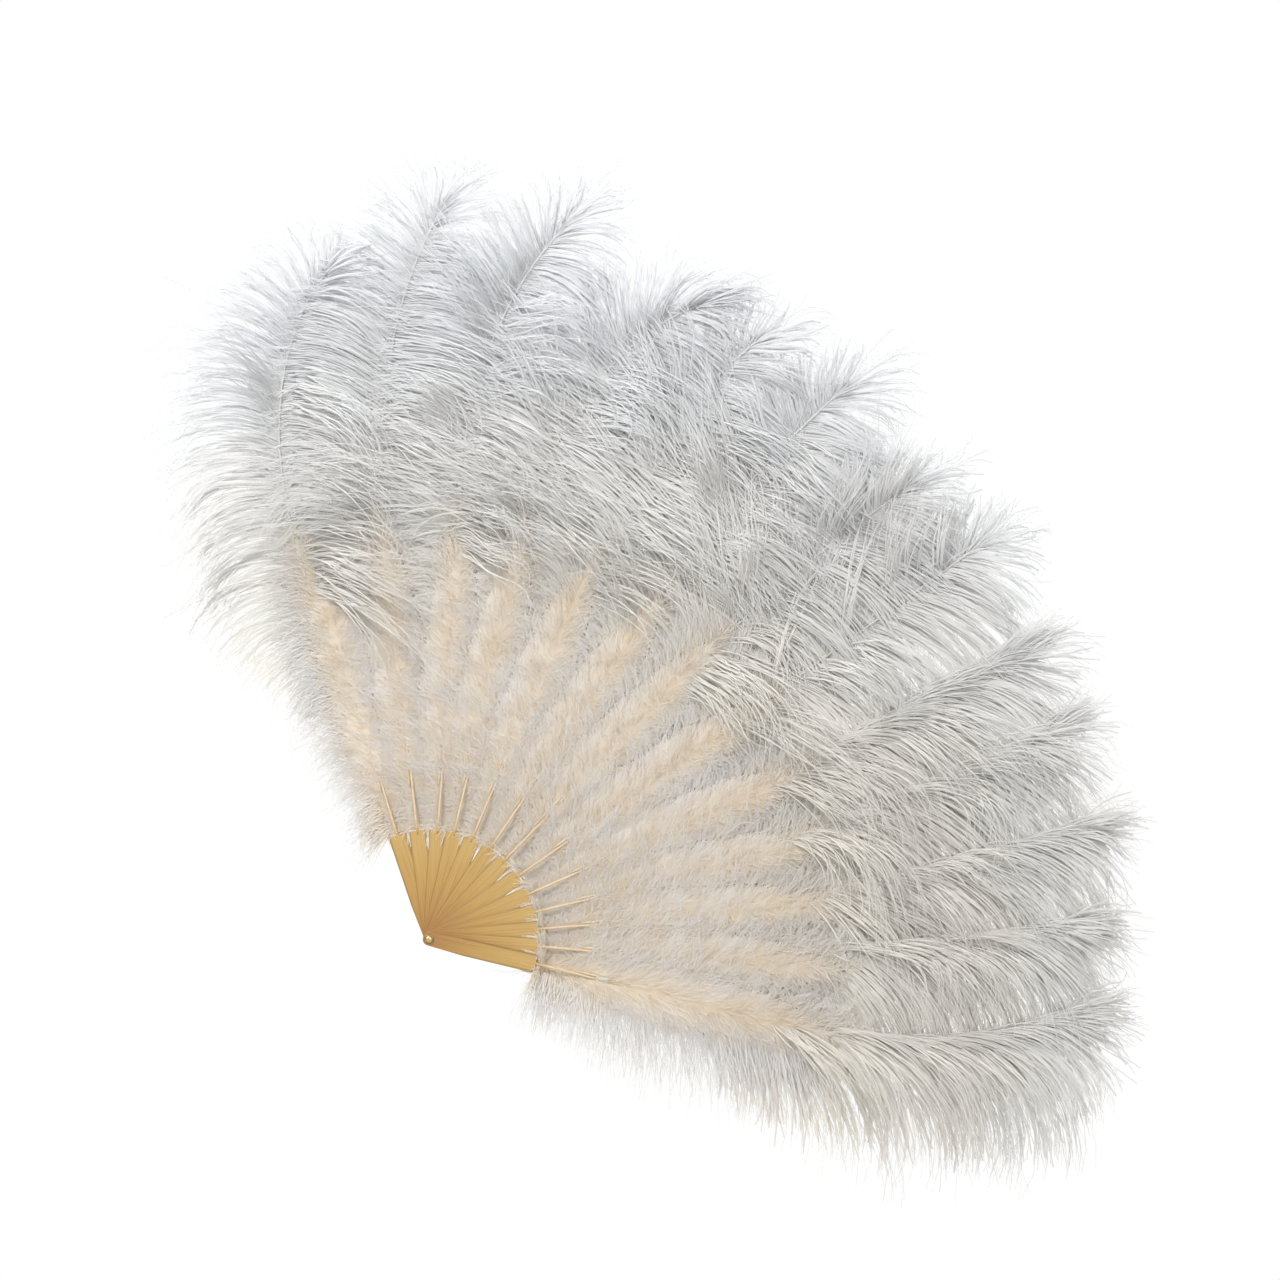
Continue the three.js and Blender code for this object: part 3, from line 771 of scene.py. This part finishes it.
def falling_locks(draw, layer, count):
    """Long locks that have sprung out of the plume and fall forwards across the others."""
    lock = np.repeat(np.arange(count), lock_size)
    total = count * lock_size

    def in_lock(low, high):
        return draw.uniform(low, high, count)[lock]

    share = in_lock(0.34, 0.8) + draw.normal(0, 0.024, total)
    roots, heading = on_quill(layer, share)
    side = draw.choice([-1.0, 1.0], count, p=[0.75, 0.25])[lock]
    turn = np.where(side > 0, hanging_turn(heading, 1), hanging_turn(heading, -1))
    leave = np.where(side > 0, leaving_angle(heading, 1, share), leaving_angle(heading, -1, share))
    first = heading + side * (leave * in_lock(0.5, 1.1) + draw.normal(0, 0.14, total))
    last = heading + side * turn * in_lock(0.8, 1.12) + draw.normal(0, 0.3, total)
    lengths = lower_length * in_lock(0.55, 1.0) * (1 + draw.normal(0, 0.2, total))
    flat = bent_paths(roots, first, last, lengths, lock_points, 1.3)
    size, phase = in_lock(0.003, 0.011), in_lock(0, 6) + draw.normal(0, 0.35, total)
    flat = rippled(flat, size, phase, in_lock(4, 8))
    share_now = np.linspace(0, 1, lock_points)[None]
    rise = in_lock(0.02, 0.048) + draw.normal(0, 0.002, total)
    height = plume_height(layer, flat) + rise[:, None] * smooth(1.6 * share_now)
    radii = draw.uniform(0.0005, 0.0009, total)[:, None] * (1 - 0.75 * share_now)
    return with_height(flat, np.clip(height, rear_limit, front_limit)), radii


def fine_fluff(draw, layer, count):
    """Fine short strands about the quill, which soften the gaps between the locks."""
    share = draw.uniform(0.15, 1, count)
    roots, heading = on_quill(layer, share)
    side = draw.choice([-1.0, 1.0], count)
    first = heading + side * np.radians(draw.uniform(20, 85, count))
    last = first - np.sin(first + math.radians(60)) * draw.uniform(0, 1.0, count)
    lengths = 0.07 * draw.uniform(0.4, 1.1, count) * (1 - 0.4 * share**3)
    flat = bent_paths(roots, first, last, lengths, fluff_points, 1.0)
    size, phase, waves = [draw.uniform(*span, count) for span in ((0.001, 0.005), (0, 6), (3, 9))]
    flat = rippled(flat, size, phase, waves)
    share_now = np.linspace(0, 1, fluff_points)[None]
    low = smooth((0.38 - np.linalg.norm(flat, axis=-1)) / 0.08)
    loft = draw.normal(0, 0.006, count)[:, None] * share_now
    height = plume_height(layer, flat) + loft - under_down * low
    radii = draw.uniform(0.0003, 0.0006, count)[:, None] * (1 - 0.6 * share_now)
    return with_height(flat, np.clip(height, rear_limit, front_limit)), radii


barb_outline = profile_of("tent", [(-1, 0), (0, 0.25), (1, 0)])
ivory_near, ivory_far = np.array([0.98, 0.94, 0.875]), np.array([0.973, 0.970, 0.958])
cool_near, cool_far = np.array([0.975, 0.95, 0.905]), np.array([0.965, 0.973, 0.985])
for layer in range(stave_count):
    number = f"{layer + 1:02d}"
    draw = np.random.default_rng(barb_seed + layer)
    groups = [falling_locks(draw, layer, plume_locks[layer]), fine_fluff(draw, layer, fluff_count)]
    for side in (-1, 1):
        sway = draw.uniform(-1, 1, sway_places.size)
        wildness = (cover_wildness, plume_wildness[layer], plume_wildness[layer])
        for barb_set, wild in zip(barb_sets, wildness):
            groups.append(side_barbs(draw, layer, side, *barb_set, wild, sway))
    mesh = strands(f"ostrich_barbs_{number}", groups, barb_outline)
    cool = float(smooth((layer - 1) / 9))
    near, far = ivory_near + (cool_near - ivory_near) * cool, ivory_far + (cool_far - ivory_far) * cool
    near_radius, far_radius = 0.36 - 0.02 * cool, 0.74 - 0.12 * cool
    tone = feather_material(f"ostrich_{number}", near, far, near_radius, far_radius)
    dressed(f"ostrich_barbs_{number}", mesh, tone, layer, f"plume_{number}")
bpy.data.objects.remove(barb_outline)


# The down: one short fluffy plume in front of each rod, cream along its middle and paler at its edges.
# Its fine hairs spring out to both sides and hide the place where quill and rod are bound.
down_start = 0.1085
down_length = 0.315
down_half = 0.039
hair_points = 4
fringe_points = 6
# The soft body is a little shorter and narrower than the plume, and lies under the hairs' roots.
body_share = 0.97
body_half_share = 0.86
body_thickness = 0.0012
body_drop = 0.003
hair_seed = 300
# The count, reach and half-width of the hairs in front, and the side, count and reach of the fringes on
# the fan's first and last down plume.
hair_sets = [(1850, 0.027, 0.00027), (450, 0.046, 0.00022)]
foot_count = 80
back_count = 600
fringes = {0: (-1, 900, 0.075), stave_count - 1: (1, 800, 0.05)}


def down_material(name, angle):
    """Cream down, yellowish along the middle of the plume and paler towards its edges and its tip."""
    material, tree, shader = new_material(name)
    place = object_place(tree)
    turned = add_node(tree, "ShaderNodeMapping", {"Vector": place, "Rotation": (0, angle, 0)})
    parts = add_node(tree, "ShaderNodeSeparateXYZ", {0: turned.outputs[0]}).outputs
    aside = maths(tree, "ABSOLUTE", parts["Z"])
    wander = maths(tree, "MULTIPLY_ADD", noise(tree, place, 34, 3), 0.03, aside)
    across = ramp(tree, ranged(tree, wander, 0.014, 0.054),
                  [(0.0, (0.93, 0.83, 0.685)), (0.28, (0.95, 0.88, 0.775)),
                   (0.6, (0.965, 0.92, 0.86)), (1.0, (0.965, 0.95, 0.93))])
    tipped = mixed(tree, "MIX", ranged(tree, parts["X"], 0.36, 0.48), across, (0.98, 0.965, 0.94, 1))
    shaded = mixed(tree, "MULTIPLY", 1.0, tipped, ranged(tree, strand_random(tree), 0.0, 1.0, 0.97))
    soft_surface(tree, shader, shaded, 0.85)
    return material


def down_width(share):
    """Half the plume's width: narrow between the rods' feet, full in the middle, pointed at the tip."""
    return down_half * (0.42 + 0.58 * smooth(share / 0.45)) * np.clip(1 - share**4, 0, 1) ** 0.75


def down_crown(along, lateral, wide):
    """The fluffy body's height over its layer. It stays behind the rods at their feet, and slopes
    back towards the plume behind it."""
    foot_drop, rise, far_slope, near_slope = 0.0042, 0.0065, 0.0095, 0.006
    clear = smooth((along - 0.128) / 0.05)
    aside = np.clip(lateral / wide, -1.2, 1.2)
    slope = np.where(aside > 0, far_slope, near_slope) * np.abs(aside) ** 2
    lumps = 0.0007 * np.sin(along * 150 + lateral * 90) + 0.0005 * np.sin(along * 330 - lateral * 210)
    return -foot_drop + rise * clear - slope + lumps * clear


def down_base(layer, radius):
    """The height that the crown is measured from, in the front half of the layer."""
    return layer_height(layer, radius) + layer_pitch(radius) / 4


def down_body(layer):
    """The soft mass of the down: two grids drawn into a thin pointed leaf, both crowned alike and
    joined along their edges."""
    bm = bmesh.new()
    bmesh.ops.create_grid(bm, x_segments=48, y_segments=12, size=1)
    front = bm.faces[:]
    back = bmesh.ops.duplicate(bm, geom=front)["geom"]
    behind = {e for e in back if isinstance(e, bmesh.types.BMVert)}
    for vert in bm.verts:
        share = (vert.co.x + 1) / 2
        wide = float(down_width(share))
        along = down_start + down_length * body_share * share
        lateral = body_half_share * vert.co.y * wide
        flat = on_stave(layer, np.array(along), np.array(lateral))
        radius = float(np.linalg.norm(flat))
        crown = float(down_crown(along, lateral, wide + 0.0005)) - body_drop
        edge = max(abs(vert.co.y), abs(vert.co.x)) > 0.999
        lift = crown - (0 if edge else body_thickness) if vert in behind else crown
        vert.co = (flat[0], flat[1], float(down_base(layer, radius)) + lift)
    bmesh.ops.reverse_faces(bm, faces=[e for e in back if isinstance(e, bmesh.types.BMFace)])
    bmesh.ops.remove_doubles(bm, verts=bm.verts, dist=1e-6)
    bmesh.ops.transform(bm, verts=bm.verts, matrix=stand_up)
    bmesh.ops.recalc_face_normals(bm, faces=bm.faces)
    for face in bm.faces:
        face.smooth = True
    return bm


def from_stave(layer, flat):
    """How far places lie along a stave, and how far to its side."""
    a = stave_angles[layer]
    along = flat[..., 0] * math.cos(a) + flat[..., 1] * math.sin(a)
    return along, flat[..., 1] * math.cos(a) - flat[..., 0] * math.sin(a)


def down_hairs(draw, layer, count, reach, thickness):
    """The hairs in front. They lean out more towards the plume's edges, and most at its foot."""
    share = draw.uniform(0, 1, count) ** 1.15
    across = draw.uniform(-1, 1, count)
    side = np.sign(across)
    wide = down_width(share)
    along = down_start + 0.002 + down_length * share
    lateral = across * wide * 0.92
    roots = on_stave(layer, along, lateral)
    outward = np.radians(28 + 32 * np.abs(across) + draw.normal(0, 20, count))
    outward += np.radians(60) * (1 - smooth(share / 0.22)) * (0.25 + 0.75 * np.abs(across))
    first = stave_angles[layer] + side * outward
    last = first + side * np.radians(draw.normal(10, 30, count))
    lengths = reach * draw.uniform(0.5, 1.2, count) * (0.75 + 0.45 * np.abs(across))
    flat = bent_paths(roots, first, last, lengths, hair_points, 1.0)
    share_now = np.linspace(0, 1, hair_points)[None]
    radius = np.linalg.norm(flat, axis=-1)
    now_along, now_lateral = from_stave(layer, flat)
    crown = down_crown(now_along, np.minimum(now_lateral, 0.72 * wide[:, None]), wide[:, None] + 0.003)
    freed = 0.3 + 0.7 * smooth((now_along - 0.14) / 0.06)
    spring = draw.uniform(-0.001, 0.0035, count)[:, None] * freed
    height = down_base(layer, radius) + crown - 0.0018 * (1 - smooth(4 * share_now)) + spring * share_now
    radii = (thickness * draw.uniform(0.7, 1.3, count))[:, None] * (1 - 0.65 * share_now)
    return with_height(flat, height), radii


def back_hairs(draw, layer, count):
    """Coarser hairs that lie over the plume's back."""
    share = draw.uniform(0, 1, count) ** 1.3
    wide = down_width(share)
    across = draw.uniform(-1, 1, count)
    along = down_start + 0.004 + down_length * share
    lateral = 0.95 * across * wide
    side = np.sign(across)
    first = stave_angles[layer] + side * np.radians(20 + 35 * np.abs(across) + draw.normal(0, 22, count))
    last = first + side * np.radians(draw.normal(14, 26, count))
    lengths = draw.uniform(0.018, 0.036, count)
    flat = bent_paths(on_stave(layer, along, lateral), first, last, lengths, hair_points, 1.0)
    share_now = np.linspace(0, 1, hair_points)[None]
    crown = down_crown(*from_stave(layer, flat), wide[:, None] + 0.0005)
    behind = 0.0044 + draw.uniform(0.0004, 0.002, count)[:, None] * smooth(3 * share_now)
    height = down_base(layer, np.linalg.norm(flat, axis=-1)) + crown - behind
    radii = draw.uniform(0.0004, 0.0007, count)[:, None] * (1 - 0.6 * share_now)
    return with_height(flat, np.maximum(height, rear_limit)), radii


def foot_hairs(draw, layer, count):
    """Short hairs at the plume's foot. Half of them curl back beside the end of the stave, and the
    others over it."""
    beside = np.arange(count) % 2 == 0
    side = draw.choice([-1.0, 1.0], count)
    lateral = side * np.where(beside, draw.uniform(0.0088, 0.0096, count), draw.uniform(0, 0.011, count))
    roots = on_stave(layer, down_start + draw.uniform(0.001, 0.006, count), lateral)
    outward = np.where(beside, draw.uniform(172, 186, count), draw.uniform(50, 150, count))
    first = stave_angles[layer] + side * np.radians(outward)
    last = first + side * np.where(beside, 0.0, np.radians(draw.uniform(-40, 70, count)))
    lengths = np.where(beside, draw.uniform(0.007, 0.02, count), draw.uniform(0.006, 0.017, count))
    flat = bent_paths(roots, first, last, lengths, hair_points, 1.0)
    share_now = np.linspace(0, 1, hair_points)[None]
    over = np.where(beside, 0.0, draw.uniform(0.0009, 0.0022, count))[:, None]
    height = stave_height(layer) + over * smooth(3 * share_now)
    radii = draw.uniform(0.0002, 0.0003, count)[:, None] * (1 - 0.6 * share_now)
    return with_height(flat, height), radii


def fringe_hairs(draw, layer, side, count, reach):
    """Longer grey-white hairs along the free side of the fan's first and last down plume."""
    share = draw.uniform(0, 1, count) ** 1.2
    along = down_start + 0.9 * down_length * share
    wide = down_width(share)
    roots = on_stave(layer, along, side * wide * draw.uniform(0.4, 0.9, count))
    first = stave_angles[layer] + side * np.radians(draw.normal(95, 14, count) - 40 * share)
    to_ground = -math.pi / 2 + (2 * math.pi if side > 0 else 0) - first
    last = first + to_ground * draw.uniform(0.3, 0.8, count)
    lengths = reach * draw.uniform(0.55, 1.1, count) * (0.7 + 0.5 * share)
    flat = bent_paths(roots, first, last, lengths, fringe_points, 1.0)
    size, phase, waves = [draw.uniform(*span, count) for span in ((0.0005, 0.003), (0, 6), (4, 10))]
    flat = rippled(flat, size, phase, waves)
    share_now = np.linspace(0, 1, fringe_points)[None]
    radius = np.linalg.norm(flat, axis=-1)
    height = down_base(layer, radius) - 0.004 + draw.normal(0, 0.004, count)[:, None] * share_now
    radii = draw.uniform(0.0003, 0.0006, count)[:, None] * (1 - 0.6 * share_now)
    return with_height(flat, height), radii


hair_outline = profile_of("hair", [(-1, 0), (0, 0.35), (1, 0)])
for layer in range(stave_count):
    number = f"{layer + 1:02d}"
    draw = np.random.default_rng(hair_seed + layer)
    hairs = [down_hairs(draw, layer, *hair_set) for hair_set in hair_sets]
    hairs += [foot_hairs(draw, layer, foot_count), back_hairs(draw, layer, back_count)]
    if layer in fringes:
        hairs.append(fringe_hairs(draw, layer, *fringes[layer]))
    mesh = strands(f"down_fluff_{number}", hairs, hair_outline)
    body = down_body(layer)
    body.from_mesh(mesh)
    body.to_mesh(mesh)
    body.free()
    cream = down_material(f"down_{number}", stave_angles[layer])
    dressed(f"down_fluff_{number}", mesh, cream, layer, f"down_{number}")
bpy.data.objects.remove(hair_outline)
